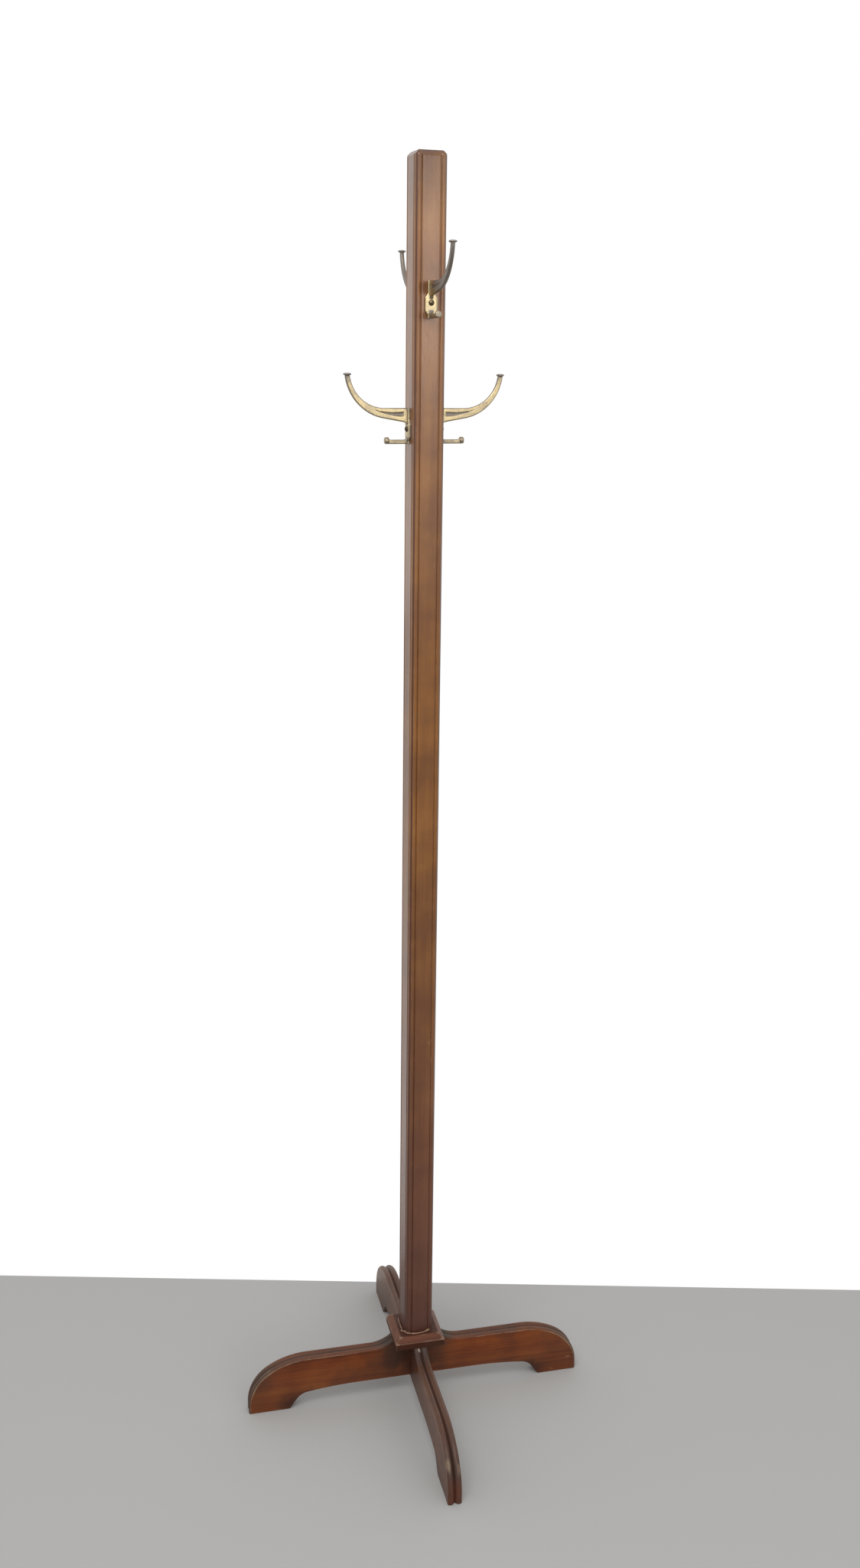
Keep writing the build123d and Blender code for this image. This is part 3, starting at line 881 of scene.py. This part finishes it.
def roundedRing(halfWide, halfTall, radius, perCorner, perWide, perTall):
    # points of a rounded oblong, anticlockwise, as (across, up)
    radius = min(radius, halfWide * 0.98, halfTall * 0.98)
    w, h = halfWide - radius, halfTall - radius
    centres = ((w, h), (-w, h), (-w, -h), (w, -h))
    ring = []
    for corner, (cx, cy) in enumerate(centres):
        ring += arcPoints((cx, cy), radius, 90 * corner, 90, perCorner)
        level = corner % 2 == 0
        count = perWide if level else perTall
        nx, ny = centres[(corner + 1) % 4]
        ax, ay = ring[-1]
        bx, by = (nx, ay) if level else (ax, ny)
        ring += [(ax + (bx - ax) * i / count, ay + (by - ay) * i / count) for i in range(1, count)]
    return ring


def griddedEnd(shell, rim, perEdge, layers):
    # rows of small faces across a plate's front, so that dirt near a join stays near it
    side = len(rim) // 2 - perEdge
    right, low = rim[:side], rim[side:side + perEdge]
    left, top = rim[side + perEdge:2 * side + perEdge][::-1], rim[2 * side + perEdge:][::-1]
    rows = [[right[0], *top, left[0]]]
    for a, b in zip(right[1:-1], left[1:-1]):
        inner = [shell.verts.new(a.co.lerp(b.co, i / (perEdge + 1))) for i in range(1, perEdge + 1)]
        for vert in inner:
            for layer in layers:
                vert[layer] = a[layer]
        rows.append([a, *inner, b])
    rows.append([right[-1], *low, left[-1]])
    for one, two in zip(rows, rows[1:]):
        for i in range(perEdge + 1):
            shell.faces.new((one[i], one[i + 1], two[i + 1], two[i]))


def hookShell(rings, perEdge=0):
    # a closed loft through rings of points, each with its place, wear and grime
    shell = bmesh.new()
    layers = [shell.verts.layers.float.new(k) for k in ("wear", "grime", "cast")]
    verts = []
    for ring in rings:
        verts.append([])
        for x, y, z, wear, grime in ring:
            vert = shell.verts.new((x * mm, y * mm, z * mm))
            for layer, value in zip(layers, (wear, grime, 1.0)):
                vert[layer] = value
            verts[-1].append(vert)
    count = len(verts[0])
    for a, b in zip(verts, verts[1:]):
        for i in range(count):
            shell.faces.new((a[i], a[(i + 1) % count], b[(i + 1) % count], b[i]))
    shell.faces.new(verts[0][::-1])
    if perEdge:
        griddedEnd(shell, verts[-1], perEdge, layers)
    else:
        shell.faces.new(verts[-1])
    bmesh.ops.recalc_face_normals(shell, faces=shell.faces)
    splitFaces(shell)
    return addObject("hookShell", shutShell(shell, bpy.data.meshes.new("hookShell")))


def nearPlate(s, x):
    return smoothStep(s.plateShade - x, 0, s.plateFade)


def armRings(s, tarnish):
    lean, inner, outer, root = radians(s.lean), s.innerRadius, s.outerRadius, s.root
    neckHeight = inner * (1 - sin(lean))
    inCentre = (s.reach - s.neck / 2 - inner * cos(lean), inner)
    outCentre = (s.reach + s.neck / 2 - outer * cos(lean), neckHeight + outer * sin(lean))
    slope = radians(s.rootSlope)
    rootX, rootZ = outCentre[0] + outer * sin(slope), outCentre[1] - outer * cos(slope)

    # each edge runs straight from the plate for a share of its length and then round an arc
    def upperEdge(u, straight=0.4):
        if u < straight:
            return (root + (inCentre[0] - root) * u / straight, 0.0)
        a = radians(270 + (90 - s.lean) * (u - straight) / (1 - straight))
        return (inCentre[0] + inner * cos(a), inCentre[1] + inner * sin(a))

    def lowerEdge(u, straight=0.3):
        if u < straight:
            x = root + (rootX - root) * u / straight
            drop = max(0.0, 1 - (x - s.plateThick) / s.gusset)
            return (x, rootZ - (rootX - x) * sin(slope) / cos(slope) - s.gusset * 0.8 * drop * drop)
        a = radians(270 + s.rootSlope + (90 - s.lean - s.rootSlope) * (u - straight) / (1 - straight))
        return (outCentre[0] + outer * cos(a), outCentre[1] + outer * sin(a))

    def sunk(x, z):
        # how deep the side panel is here, fading out to a point along the arm
        if not s.panelStart - s.panelLead < x < s.panelEnd:
            return 0.0
        u = (x - s.panelStart) / (s.panelEnd - s.panelStart)
        sag = s.panelSag * u * (1 - u)
        top, low = (s[k] * (1 - u) + s.panelTip * u - sag for k in ("panelHigh", "panelLow"))
        inside = min(top - z, z - low, (x - s.panelStart) + s.panelFoot)
        return s.panelDepth * smoothStep(inside, *s.panelEase)

    rings = []
    halfThick = s.armThick / 2
    for i in range(s.armSteps + 1):
        u = i / s.armSteps
        (ux, uz), (lx, lz) = upperEdge(u), lowerEdge(u)
        tall = hypot(ux - lx, uz - lz)
        dullEnd = (s.endDull + s.endTarnish * tarnish) * smoothStep(u, *s.endSpan)
        dulled = max(tarnish * smoothStep(u, *s.dullSpan), dullEnd)
        ring = []
        for across, up in roundedRing(halfThick, tall / 2, s.armRound, *s.armCells):
            share = up / tall + 0.5
            x, z = lx + (ux - lx) * share, lz + (uz - lz) * share
            dent = sunk(x, z) if abs(across) > halfThick - slack else 0.0
            edge = smoothStep(abs(up) / (tall / 2), *s.edgeSpan)
            grime = s.panelGrime * dent / s.panelDepth + s.rootGrime * nearPlate(s, x)
            grime = max(grime + s.edgeGrime * edge * (share > 0.5), dulled)
            wear = 0.0 if dent > s.wornDent else s.armWear * (1 - edge)
            wear *= 1 - dulled * s.dullLoss
            ring.append((x, across - (dent if across > 0 else -dent), z, wear, grime))
        rings.append(ring)
    return rings, neckHeight


def turnedRings(profile, x, z, upright, wear, grime, steps=40):
    # a profile of radii and reaches, turned about an upright or a level axis
    turns = [2 * pi * i / steps for i in range(steps)]
    rings = []
    for radius, reach in profile:
        if upright:
            ring = [(x + radius * cos(a), radius * sin(a), z + reach, wear, grime) for a in turns]
        else:
            ring = [(x + reach, radius * cos(a), z + radius * sin(a), wear, grime) for a in turns]
        rings.append(ring)
    return rings


def buttonProfile(s):
    rim, neck, height, crown = s.buttonRim / 2, s.buttonNeck / 2, s.buttonRim, s.buttonCrown
    flat = s.button / 2 - rim
    quarter = [pi / 2 * i / 8 for i in range(9)]
    rows = [(neck + (flat - neck) * (1 - cos(a)) ** 1.25, -s.buttonFlare * (1 - sin(a))) for a in quarter]
    rows += [(flat + rim * cos(radians(a)), rim + rim * sin(radians(a))) for a in range(-72, 91, 18)]
    rows += [(flat * (1 - i / 6), height + crown * (1 - (1 - i / 6) ** 2)) for i in range(1, 6)]
    return [*rows, (s.tip, height + crown)]


def knobProfile(s):
    radius, length, soft = s.knob / 2, s.knobLength, s.knobSoft
    rows = [(radius - 1.1, -0.4), (radius - 0.45, -0.1), (radius - 0.1, 0.35), (radius, 0.9)]
    bend = [radians(a) for a in range(0, 80, 13)]
    rows += [(radius - soft + soft * cos(a), length - soft + soft * sin(a)) for a in bend]
    rows += [((radius - soft * 0.9) * (1 - i / 5), length - 0.02) for i in range(1, 5)]
    return [*rows, (s.tip, length)]


def pegRings(s):
    low = -s.plateHeight + s.pegInset
    rings = []
    for i in range(s.pegSteps + 1):
        x = s.root + (s.pegReach + s.pegOverlap - s.root) * i / s.pegSteps
        lift = 0.0
        near, far = s.plateThick + s.pegGusset - x, x - (s.pegReach - s.pegUpturn)
        for inside, radius in ((near, s.pegGusset), (far, s.pegUpturn)):
            if inside > 0:
                lift = radius - sqrt(max(0.0, radius**2 - min(inside, radius) ** 2))
        tall = s.pegThick + lift
        waist = s.pegWaist * smoothStep(x, *s.waistIn) * smoothStep(s.waistEnd - x, 0, s.waistFade)
        grime = s.pegGrime + s.pegRootGrime * nearPlate(s, x)
        ring = roundedRing(s.pegThick / 2 * (1 - waist), tall / 2, s.pegRound, *s.pegCells)
        rings.append([(x, across, low + tall / 2 + up, s.pegWear, grime) for across, up in ring])
    return rings


def plateRings(s):
    # outline from the top, clockwise seen from the front, as (across, up)
    wideTop = -s.shoulderTop - s.shoulderSlope
    wideLow = wideTop - s.wideHeight
    narrow, wide, cells = s.plateNarrow / 2, s.plateWide / 2, s.plateCells
    side = [(narrow, 0.0), (narrow, -s.shoulderTop), (wide, wideTop), (wide, wideLow)]
    side += [(narrow, wideLow - s.shoulderSlope), (narrow, -s.plateHeight)]
    corners = side + [(-x, z) for x, z in reversed(side)]
    triples = zip(corners[-1:] + corners, corners, corners[1:] + corners[:1])
    bends = [roundedCorner(a, b, c, s.plateCorner, 4) for a, b, c in triples]
    outline = []
    for bend, following in zip(bends, bends[1:] + bends[:1]):
        start, end = Vector(bend[-1]), Vector(following[0])
        outline += bend + [tuple(start.lerp(end, k / (cells + 1))) for k in range(1, cells + 1)]
    thick, cut = s.plateThick, s.plateChamfer
    levels = (
        (0.0, 0.0, 0.0, 0.6), (thick - cut, 0.0, 0.3, 0.2), (thick - cut * 0.4, cut * 0.25, 1.0, 0.0),
        (thick, cut, 0.35, 0.0),
    )
    rings = []
    for x, inset, wear, grime in levels:
        pairs = zip(outline, outwardOf(outline))
        rings.append([(x, p[0] - n[0] * inset, p[1] - n[1] * inset, wear, grime) for p, n in pairs])
    return rings


def fillSeams(mesh, extraGrime):
    # points that the union adds along the joins take their neighbours' grime, and a little more
    shell = bmesh.new()
    shell.from_mesh(mesh)
    bmesh.ops.dissolve_degenerate(shell, edges=shell.edges, dist=0.02 * mm)
    splitFaces(shell)
    castLayer, grimeLayer = (shell.verts.layers.float[k] for k in ("cast", "grime"))
    for vert in shell.verts:
        near = [e.other_vert(vert) for e in vert.link_edges]
        own = [v for v in near if v[castLayer] > 0.5]
        if vert[castLayer] < 0.5 and own:
            vert[grimeLayer] = sum(v[grimeLayer] for v in own) / len(own) + extraGrime
    shell.verts.layers.float.remove(castLayer)
    return shutShell(shell, mesh)


def buildHook(s, tarnish):
    arm, neckHeight = armRings(s, tarnish)
    grime = s.buttonGrime + s.buttonTarnish * tarnish
    button = turnedRings(buttonProfile(s), s.reach, neckHeight, True, s.buttonWear, grime)
    knobHeight = -s.plateHeight + s.knob / 2
    grime = s.knobGrime + s.knobTarnish * tarnish
    knob = turnedRings(knobProfile(s), s.pegReach, knobHeight, False, s.knobWear, grime)
    plate = hookShell(plateRings(s), s.plateCells)
    others = [hookShell(rings) for rings in (arm, pegRings(s), button, knob)]
    for other in others:
        join = plate.modifiers.new("join", "BOOLEAN")
        join.operation, join.solver, join.object = "UNION", "MANIFOLD", other
    mesh = bakedMesh(plate)
    dropObjects(plate, *others)
    return fillSeams(mesh, s.seamGrime)


for side, (turn, top, tarnish) in hookPlaces.items():
    hookName = "hook" + side.capitalize()
    hookMesh = buildHook(hookSizes, tarnish)
    aim = Matrix.Rotation(radians(turn + postSizes.turn), 4, "Z")
    hookMesh.transform(aim @ Matrix.Translation((postSizes.half * mm, 0, top * mm)))
    hookMesh.name = hookName
    placePiece(hookName, hookMesh, hookSizes.sharp, hookBrass, "hook_brass", "hook_" + side)
print("hooks placed:", len(hookPlaces))


# hook screws: one slotted round head on a shank, set on four points by a tree

screwSizes = Values(
    head=7.8, dome=2.8, slot=1.0, slotDepth=1.0, slotWall=0.04, drop=26.5, shank=4.2,
    length=19.0, tip=0.3, rows=28, steps=26, slotTurn=1.2, seed=4, sharp=35,
)


def screwMesh(s):
    # a dome over a shank, pointing along X from its seat, in rows with a slot pressed across the crown
    half, halfSlot, steps = s.head / 2, s.slot / 2, s.steps
    radius = (half**2 + s.dome**2) / (2 * s.dome)
    shell = bmesh.new()
    across = [half * (2 * i / s.rows - 1) for i in range(s.rows + 1)]
    across += [-halfSlot - s.slotWall, -halfSlot, halfSlot, halfSlot + s.slotWall]
    grid = []
    for y in sorted(set(across)):
        chord = sqrt(max(0.0, half**2 - y * y))
        row = []
        for k in range(steps + 1):
            z = -chord * cos(pi * k / steps)
            height = sqrt(max(0.0, radius**2 - y * y - z * z)) - (radius - s.dome)
            if abs(y) <= halfSlot + 1e-6:
                height = min(height, s.dome - s.slotDepth)
            row.append(shell.verts.new((max(0.0, height) * mm, z * mm, y * mm)))
        grid.append(row)
    for a, b in zip(grid, grid[1:]):
        for k in range(steps):
            shell.faces.new((a[k], a[k + 1], b[k + 1], b[k]))
    bmesh.ops.remove_doubles(shell, verts=shell.verts, dist=weldGap / 10)
    rim = [e for e in shell.edges if e.is_boundary]
    halfShank = s.shank / 2
    for reach, along in ((halfShank, 0.0), (halfShank, s.shank - s.length), (s.tip, -s.length)):
        ring, rim = drawRim(shell, rim)
        for vert in ring:
            shrink = reach * mm / hypot(vert.co.y, vert.co.z)
            vert.co = (along * mm, vert.co.y * shrink, vert.co.z * shrink)
    bmesh.ops.holes_fill(shell, edges=rim, sides=0)
    shell.verts.layers.float.new("wear")
    grimeLayer = shell.verts.layers.float.new("grime")
    splitFaces(shell)
    bmesh.ops.recalc_face_normals(shell, faces=shell.faces)
    for vert in shell.verts:
        pressed = abs(vert.co.z) < halfSlot * mm * 1.01 and vert.co.x > 0.5 * mm
        vert[grimeLayer] = 1.0 if pressed else 0.0
    return shutShell(shell, bpy.data.meshes.new("screwHead"))


def screwNodes(s):
    tree, given = newTree("screwTree", [("Screw", "Object"), ("Seed", "Int"), ("Finish", "Material")])
    inputs = {2: -s.slotTurn, 3: s.slotTurn, "Seed": given["Seed"]}
    slotTurn = wire("FunctionNodeRandomValue", inputs, data_type="FLOAT").outputs[1]
    inputs = {"Object": given["Screw"], "As Instance": True}
    screw = wire("GeometryNodeObjectInfo", inputs).outputs["Geometry"]
    turns = joinXyz(slotTurn, 0.0, pathValue(tree, "faceTurn"))
    aim = wire("FunctionNodeEulerToRotation", [turns]).outputs[0]
    placed = grow("InstanceOnPoints", {"Points": given["Geometry"], "Instance": screw, "Rotation": aim})
    return endTree(placed, given["Finish"])


screwSpots, faceTurns = [], []
for turn, top, tarnish in hookPlaces.values():
    faceTurns.append(radians(turn + postSizes.turn))
    out = Matrix.Rotation(faceTurns[-1], 3, "Z") @ Vector((postSizes.half + hookSizes.plateThick, 0, 0))
    screwSpots.append((out.x * mm, out.y * mm, (top - screwSizes.drop) * mm))
screwPoints = lineObject("screwPoints", screwSpots, False, {"faceTurn": faceTurns})
screwModel = addObject("screwModel", screwMesh(screwSizes))
screwValues = {"Screw": screwModel, "Seed": screwSizes.seed, "Finish": screwBrass}
screwsMesh = grownMesh("hookScrews", screwPoints, screwNodes(screwSizes), screwValues)
dropObjects(screwPoints, screwModel)
placePiece("hookScrews", screwsMesh, screwSizes.sharp, screwBrass, "screw_brass", "hook_screws")
print("hook screws set")


# old glue squeezed out round the foot of the post, along a route of places and swellings

glueSizes = Values(
    bead=1.05, level=114.6, wander=1.4, points=150, round=10, sharp=60,
    ripple=(210.0, 2.0), lumps=(160.0, 3.0), lumpShare=1.2, evenShare=0.4, flatten=(1, 1, 0.1),
    route=[
        (-23.5, 17, 0.6), (-23.8, 3, 0.8), (-23.6, -11, 0.9), (-24.6, -14.4, 1.9), (-22.6, -16.6, 0.4),
        (-20.6, -16.4, 1.9), (-18.8, -21, 0.8), (-15.8, -23, 1.5), (-10.4, -24.8, 1.2), (-2.3, -25.8, 1.0),
        (7.4, -24.6, 1.1), (15.6, -20.8, 1.6), (18, -20, 0.5),
    ],
)


def glueNodes(s):
    tree, given = newTree("glueTree", [("Bead", "Float"), ("Wander", "Float"), ("Finish", "Material")])
    line = grow("MeshToCurve", [given["Geometry"]])
    line = grow("ResampleCurve", {"Curve": line, "Count": s.points})
    ripple, lumps = (dict(zip(("Scale", "Detail"), s[k])) for k in ("ripple", "lumps"))
    ripple = addNode(tree, "ShaderNodeTexNoise", ripple).outputs["Color"]
    drift = vectorCalc("SUBTRACT", ripple, (0.5, 0.5, 0.5))
    drift = vectorCalc("SCALE", vectorCalc("MULTIPLY", drift, s.flatten), given["Wander"])
    line = grow("SetPosition", {"Geometry": line, "Offset": drift})
    lumps = addNode(tree, "ShaderNodeTexNoise", lumps).outputs[0]
    swell = times(timesPlus(lumps, s.lumpShare, s.evenShare), pathValue(tree, "swell"))
    line = grow("SetCurveRadius", {"Curve": line, "Radius": swell})
    ring = grow("CurvePrimitiveCircle", {"Resolution": s.round, "Radius": given["Bead"]})
    bead = grow("CurveToMesh", {"Curve": line, "Profile Curve": ring, "Fill Caps": True, "Scale": swell})
    return endTree(bead, given["Finish"])


gluePoints = [(x * mm, y * mm, glueSizes.level * mm) for x, y, swell in glueSizes.route]
glueLine = lineObject("glueLine", gluePoints, False, {"swell": [row[2] for row in glueSizes.route]})
glueValues = {"Bead": glueSizes.bead * mm, "Wander": glueSizes.wander * mm, "Finish": glueMaterial}
glueMesh = grownMesh("glueBead", glueLine, glueNodes(glueSizes), glueValues)
dropObjects(glueLine)
placePiece("glueBead", glueMesh, glueSizes.sharp, glueMaterial, "post_wood")
print("glue bead laid")

# the long screw under the crossing keeps its CAD shape
cadNodes["post_screw"].data.materials.clear()
cadNodes["post_screw"].data.materials.append(postScrewSteel)


# floor, light and camera

stageLook = Values(
    cloth=(0.505, 0.500, 0.488), wall=(0.95, 0.95, 0.94), wallNormal=(0.240, 0.971), wallGap=0.2767,
    size=7.0, level=-0.0004,
)


def stageFloor(s):
    mesh = bpy.data.meshes.new("stageFloor")
    e, z = s.size, s.level
    mesh.from_pydata([(-e, -e, z), (e, -e, z), (e, e, z), (-e, e, z)], [], [(0, 1, 2, 3)])
    material, tree = newMaterial("floorCloth", s.cloth)
    x, y = splitXyz(objectPlace(tree))[:2]
    behind = timesPlus(x, s.wallNormal[0], times(y, s.wallNormal[1]))
    behind = isOver(behind, s.wallGap)
    colour = blend(behind, (*s.cloth, 1), (*s.wall, 1))
    cloth = shadeWith(tree, {"Base Color": colour, "Roughness": 0.9, "Specular IOR Level": 0.1})

    # past the cloth's far edge the camera sees plain white
    seen = times(addNode(tree, "ShaderNodeLightPath").outputs["Is Camera Ray"], behind)
    glow = addNode(tree, "ShaderNodeEmission").outputs[0]
    either = wire("ShaderNodeMixShader", (seen, cloth, glow)).outputs[0]
    feed(tree.nodes["Material Output"].inputs["Surface"], either)
    mesh.materials.append(material)
    addObject("stageFloor", mesh)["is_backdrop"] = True


stageFloor(stageLook)

lightLook = Values({
    "seenSky": 1.0, "skyStrength": 0.62,
    "topLamp": Values(place=(-0.7, -1.5, 3.0), aim=(0, 0, 1.15), size=(1.8, 1.2), power=30.0),
    "windowLamp": Values(place=(1.15, -4.0, 1.85), aim=(0, 0, 1.6), size=(1.7, 0.9), power=17.0),
})


def lightScene(s):
    # the sky is brighter to the camera and in reflections than as a light
    world = bpy.data.worlds.new("studio")
    world.use_nodes = True
    tree = world.node_tree
    rays = addNode(tree, "ShaderNodeLightPath").outputs
    mirrored = larger(rays["Is Glossy Ray"], rays["Is Transmission Ray"])
    seen = larger(rays["Is Camera Ray"], mirrored)
    sky = tree.nodes["Background"].inputs
    feed(sky["Strength"], timesPlus(seen, s.seenSky - s.skyStrength, s.skyStrength))
    sky["Color"].default_value = (1, 1, 1, 1)
    scene.world = world
    for name in ("topLamp", "windowLamp"):
        lamp = s[name]
        data = bpy.data.lights.new(name, "AREA")
        data.shape = "RECTANGLE"
        data.size, data.size_y = lamp.size
        data.energy = lamp.power
        thing = addObject(name, data)
        thing.location = lamp.place
        ahead = Vector(lamp.aim) - Vector(lamp.place)
        thing.rotation_euler = ahead.to_track_quat("-Z", "Y").to_euler()


lightScene(lightLook)

cameraLook = Values(
    place=(-0.45631, -1.97505, 1.55485), yaw=13.374, pitch=-15.792, roll=0.679,
    focus=1978.079, photoHeight=2049, sensor=36.0,
)


def photoCamera(s):
    yaw, pitch, roll = (radians(s[k]) for k in ("yaw", "pitch", "roll"))
    ahead = Vector((sin(yaw) * cos(pitch), cos(yaw) * cos(pitch), sin(pitch)))
    level = Vector((cos(yaw), -sin(yaw), 0))
    right = level * cos(roll) + level.cross(ahead) * sin(roll)
    axes = Matrix((right, right.cross(ahead), -ahead)).transposed().to_4x4()
    axes.translation = s.place
    data = bpy.data.cameras.new("photoCamera")
    data.sensor_width = s.sensor
    data.lens = s.sensor * s.focus / s.photoHeight
    camera = addObject("photoCamera", data)
    camera.matrix_world = axes
    scene.camera = camera


photoCamera(cameraLook)
scene.view_settings.view_transform = "Standard"
print("floor, light and camera set")

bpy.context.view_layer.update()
meshes = [piece.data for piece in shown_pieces() if piece.type == "MESH"]
print("triangles:", sum(len(face.vertices) - 2 for mesh in meshes for face in mesh.polygons))
